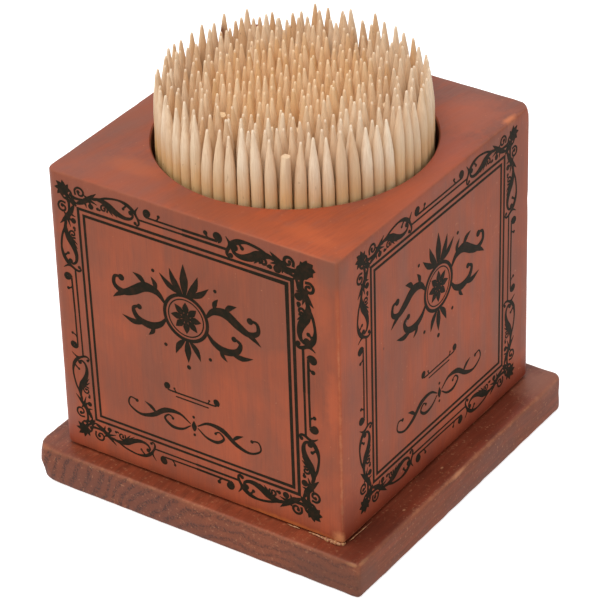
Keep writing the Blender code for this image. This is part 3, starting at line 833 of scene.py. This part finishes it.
# Distance from a broken end and the share of the full radius there, and how ragged the break is
BROKEN_RINGS = ((8, 1), (4, 0.9), (0.15, 0.71), (0, 0.67))
RAGGEDNESS = (-0.25, 0.1)
# Distance from a point's end and the share of the full radius there
POINT_RINGS = ((0, 0.1), (0.08, 0.175), (0.5, 0.25), (1.3, 0.35), (2.3, 0.48), (3.4, 0.625), (4.6, 0.765),
               (5.9, 0.88), (7.4, 0.955), (9, 0.99), (10.5, 1))
# A dark brown patch on one toothpick at the back: middle, reach each way, strength, colour
PICK_MARKS = (((-19.6, 8.8, 68), (0.85, 0.85, 2.1), 0.9, "6E3A1C"),)


def welded_points(node):
    """A CAD node's vertices in millimetres, each place once, with its edges."""
    mesh = frame["nodes"][node].data
    points = np.empty(len(mesh.vertices) * 3)
    mesh.vertices.foreach_get("co", points)
    points = points.reshape(-1, 3) / MM
    _, first, index = np.unique(np.round(points, 4), axis=0, return_index=True, return_inverse=True)
    edges = np.empty(len(mesh.edges) * 2, int)
    mesh.edges.foreach_get("vertices", edges)
    return points[first], index.reshape(-1)[edges].reshape(-1, 2)


def stick_groups(points, edges):
    """Splits the vertices above the tie into one group for each toothpick."""
    above = points[:, 2] > TIE_TOP
    parent = list(range(len(points)))

    def root(i):
        while parent[i] != i:
            parent[i] = parent[parent[i]]
            i = parent[i]
        return i

    for a, b in edges:
        if above[a] and above[b]:
            parent[root(a)] = root(b)
    groups = {}
    for i in np.flatnonzero(above):
        groups.setdefault(root(i), []).append(i)
    return [points[group] for group in groups.values()]


def stick_axis(group):
    """Foot and tip of a toothpick, and whether its point is broken off."""
    order = group[group[:, 2].argsort()]
    tip_ring, low_ring = order[-END_VERTICES:], order[:END_VERTICES]
    tip, low = tip_ring.mean(axis=0), low_ring.mean(axis=0)
    broken = np.linalg.norm(tip_ring - tip, axis=1).max() > BROKEN_END_RADIUS
    foot = tip + (low - tip) * (tip[2] - PICK_SEAT) / (tip[2] - low[2])
    return foot, tip, broken


def stick_mesh(sticks, random):
    """Points and faces of turned toothpicks, and each point's tone and distance from the nearest end."""
    points, faces, tones, ends = [], [], [], []
    angles = [math.tau * step / PICK_SIDES for step in range(PICK_SIDES)]
    for foot, tip, broken in sticks:
        stretch, girth, tone = random.uniform(*STRETCHES), random.uniform(*GIRTHS), random.random()
        shortening = MOST_SHORTENING * random.random() ** 2
        bend, bend_angle = MOST_BEND * random.random(), random.uniform(0, math.tau)
        if np.linalg.norm(foot[:2] - SNAPPED_PLACE) < PICK_RADIUS:
            shortening, broken, tone = SNAPPED_OFF, True, SNAPPED_TONE
        axis = Vector(tip - foot).normalized()
        length = np.linalg.norm(tip - foot) - shortening
        side = axis.orthogonal().normalized()
        other = axis.cross(side)
        sideways = side * math.cos(bend_angle) + other * math.sin(bend_angle)
        low = [(away * stretch, share) for away, share in POINT_RINGS]
        high = BROKEN_RINGS if broken else low[::-1]
        loops = []
        for away, share in low + [(length - above, share) for above, share in high]:
            swell = min(1.0, 1 + UNEVENNESS * random.standard_normal())
            snapped = broken and away == length
            ragged = random.uniform(*RAGGEDNESS, PICK_SIDES) if snapped else np.zeros(PICK_SIDES)
            bent = sideways * (bend * max(0.0, (away - BEND_FROM) / (length - BEND_FROM)) ** 2)
            loops.append(list(range(len(points), len(points) + PICK_SIDES)))
            radius = PICK_RADIUS * girth * share * swell
            for angle, slip in zip(angles, ragged):
                out = (side * math.cos(angle) + other * math.sin(angle)) * radius
                points.append(Vector(foot) + axis * (away + slip) + bent + out)
            tones += [tone] * PICK_SIDES
            ends += [min(away, length - away + (LOST_POINT if broken else 0))] * PICK_SIDES
        faces += tube_faces(loops)
    return points, faces, {"tone": tones, "from_end": ends}


# Plain birch: pale cream to light tan from stick to stick, matt, with fine
# lengthways fibres and yellower shafts. Painted shade and bounce light make the
# sticks yellower around the rim of the bore, painted warm light makes them golden
# in the middle of the bore, and painted light makes them paler on the front right.
birch_finish, add, shader, place = new_finish("plain_birch")
tone = add("Attribute", {}, output=2, attribute_name="tone")
height = add("SeparateXYZ", {0: place}, output=2)
shifted = add("VectorMath MULTIPLY", {0: tone, 1: (40, 25, 90)})
shifted = add("VectorMath ADD", {0: place, 1: shifted})
blotches = add_streaks(add, shifted, (0.7, 0.7, 0.4), 4, 0.65)
from_end = add("Attribute", {}, output=2, attribute_name="from_end")
point_share = add("MapRange", {0: from_end, 1: 8.2, 2: 3.2}, **SMOOTH)
uneven = add("Math MULTIPLY_ADD", {0: blotches, 1: 8, 2: from_end})
shaft_yellow_and_rim_shade = add("MapRange", {0: uneven, 1: 8.5, 2: 15.5, 4: 0.45}, **SMOOTH)
# Painted shade and bounce light from the stained bore: yellower and darker around the rim, fading out lower
# down in the bore.
painted_rim_shade_and_bounce = add("Math MULTIPLY_ADD", {0: blotches, 1: 15, 2: height})
painted_rim_shade_and_bounce = add("MapRange", {0: painted_rim_shade_and_bounce, 1: 71.5, 2: 65, 4: 0.4}, **SMOOTH)
rim_band_fade = add("MapRange", {0: height, 1: 44, 2: 57}, **SMOOTH)
shaft_yellow_and_rim_shade = add("Math MULTIPLY_ADD", {0: painted_rim_shade_and_bounce, 1: rim_band_fade, 2: shaft_yellow_and_rim_shade})
shaft_colour = add("Mix", {0: tone, 6: "F3DFC2", 7: "D8B68D"}, **RGBA)
point_colour = add("Mix", {0: tone, 6: "FBE5C8", 7: "E2BA8F"}, **RGBA)
colour = add("Mix", {0: point_share, 6: shaft_colour, 7: point_colour}, **RGBA)
fibres = add_streaks(add, shifted, (3.4, 3.4, 0.16), 3, 0.65)
fibre_share = add("MapRange", {0: fibres, 1: 0.4, 2: 0.72, 4: 0.45})
specks = add_streaks(add, shifted, (1.6, 1.6, 0.6), 2)
specks = add("MapRange", {0: specks, 1: 0.7, 2: 0.8, 4: 0.6})
cut_end = add("MapRange", {0: from_end, 1: 0.5, 2: 0.07})
paleness = add("Math MULTIPLY_ADD", {0: tone, 1: 0.35, 2: 0.1})
cut_end = add("Math MULTIPLY", {0: cut_end, 1: paleness})
to_rim = add("VectorMath DOT_PRODUCT", {0: place, 1: (0.88, -0.48, 0)}, output=1)
from_middle = add("VectorMath MULTIPLY", {0: place, 1: (1, 1, 0)})
from_middle = add("VectorMath LENGTH", {0: from_middle}, output=1)
# Painted warm light: golden towards the middle of the bore.
painted_warm_light = add("MapRange", {0: from_middle, 1: 19, 2: 9, 4: 0.3}, **SMOOTH)
# Painted light: paler towards the front right of the bundle.
painted_side_light = add("MapRange", {0: to_rim, 1: 4, 2: 13, 4: 0.12}, **SMOOTH)
colour = add_washes(add, colour, (
    (shaft_yellow_and_rim_shade, "E2AD5F"), (fibre_share, "BE9263"), (specks, "8C5A38"), (cut_end, "FFEFDC"),
    (painted_warm_light, "FFCE88"), (painted_side_light, "FFF3E1"),
))
colour = add_marks(add, place, blotches, colour, PICK_MARKS)
relief = add("Bump", {"Height": fibres, "Strength": 0.4, "Distance": 0.05 * MM})
set_inputs(shader, {"Base Color": colour, "Roughness": 0.6, "Normal": relief, "Specular IOR Level": 0.2})

random = np.random.default_rng(7)
bodies = frame["record"]["behaviour"]["bodies"]
for body in sorted(bodies):
    for node in bodies[body]:
        if not node.startswith("toothpick"):
            continue
        sticks = [stick_axis(group) for group in stick_groups(*welded_points(node))]
        points, faces, attributes = stick_mesh(sticks, random)
        bm = bmesh.new()
        layers = {name: bm.verts.layers.float.new(name) for name in attributes}
        verts = [bm.verts.new(point) for point in points]
        for name, layer in layers.items():
            for vert, value in zip(verts, attributes[name]):
                vert[layer] = value
        for face in faces:
            bm.faces.new([verts[i] for i in face])
        piece = add_piece(node.replace("toothpick", "birch_toothpick"), bm, birch_finish, body)
        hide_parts(node)


# ---------------- floor, lamps and camera
# The holder stands on a white table in a bright room: even light from all
# around, a little more from above, and a soft dark line where it stands.

FLOOR_SIDE = 3.0
FLOOR_DROP = 0.00005


def add_seen(add):
    """1 where a surface is seen, straight, mirrored or through glass, and 0 where it only gives light."""
    paths = add("LightPath", {}).node.outputs
    seen = add("Math MAXIMUM", {0: paths["Is Camera Ray"], 1: paths["Is Glossy Ray"]})
    return add("Math MAXIMUM", {0: seen, 1: paths["Is Transmission Ray"]})


# White laminate, kept as bright as the room so that its edge can't be seen.
floor_finish, add, shader, place = new_finish("white_laminate_table")
set_inputs(shader, {"Base Color": "E6E6E6", "Roughness": 0.9})
bright = add("Emission", {"Color": "FFFFFF", "Strength": 0.7})
unlit = add("Emission", {"Color": "000000", "Strength": 0})
bright = add("MixShader", {0: add_seen(add), 1: unlit, 2: bright})
lit = add("AddShader", {0: shader.outputs[0], 1: bright})
set_inputs(floor_finish.node_tree.nodes["Material Output"], {"Surface": lit})

bm = bmesh.new()
bmesh.ops.create_grid(bm, x_segments=2, y_segments=2, size=FLOOR_SIDE / 2)
bmesh.ops.translate(bm, verts=bm.verts, vec=(0, 0, -FLOOR_DROP))
mesh = new_mesh("table_top", bm)
mesh.materials.append(floor_finish)
new_object("table_top", mesh)

world = bpy.data.worlds.new("bright_room")
world.use_nodes = True
bpy.context.scene.world = world
add = partial(add_node, world.node_tree)
room = add("Background", {"Color": "FFFFFF", "Strength": 0.68})
backdrop = add("Background", {"Color": "FFFFFF", "Strength": 1})
surroundings = add("MixShader", {0: add_seen(add), 1: room, 2: backdrop})
set_inputs(world.node_tree.nodes["World Output"], {"Surface": surroundings})

LAMP_PLACE = Vector((-0.1, -0.5, 1.15))
LAMP_AIM = Vector((0, 0, 0.03))
lamp = bpy.data.lights.new("soft_box", "AREA")
lamp.shape = "SQUARE"
lamp.size = 0.9
lamp.energy = 8.5
soft_box = new_object("soft_box", lamp)
soft_box.location = LAMP_PLACE
soft_box.rotation_euler = (LAMP_AIM - LAMP_PLACE).to_track_quat("-Z", "Y").to_euler()

CAMERA_AZIMUTH = math.radians(34.805)
CAMERA_ELEVATION = math.radians(32.385)
CAMERA_ROLL = math.radians(-1.778)
CAMERA_TARGET = Vector((-0.0004, 0.0001, 0.0275))
CAMERA_OFFSET = (0.0005075, 0.0003393, 0.5467757)  # right, up and back from the target
SENSOR_WIDTH = 36.0
FOCAL_PIXELS = 3330.24
IMAGE_PIXELS = 600
back = Vector((
    math.sin(CAMERA_AZIMUTH) * math.cos(CAMERA_ELEVATION),
    -math.cos(CAMERA_AZIMUTH) * math.cos(CAMERA_ELEVATION),
    math.sin(CAMERA_ELEVATION),
))
level = Vector((math.cos(CAMERA_AZIMUTH), math.sin(CAMERA_AZIMUTH), 0))
right = Matrix.Rotation(CAMERA_ROLL, 3, back) @ level
up = back.cross(right)
lens = bpy.data.cameras.new("photo_camera")
lens.sensor_width = SENSOR_WIDTH
lens.lens = FOCAL_PIXELS * SENSOR_WIDTH / IMAGE_PIXELS
lens.clip_start = 0.01
camera = new_object("photo_camera", lens)
turned = Matrix((right, up, back)).transposed()
camera.matrix_world = Matrix.Translation(CAMERA_TARGET + turned @ Vector(CAMERA_OFFSET)) @ turned.to_4x4()
bpy.context.scene.camera = camera
bpy.context.scene.view_settings.view_transform = "Standard"
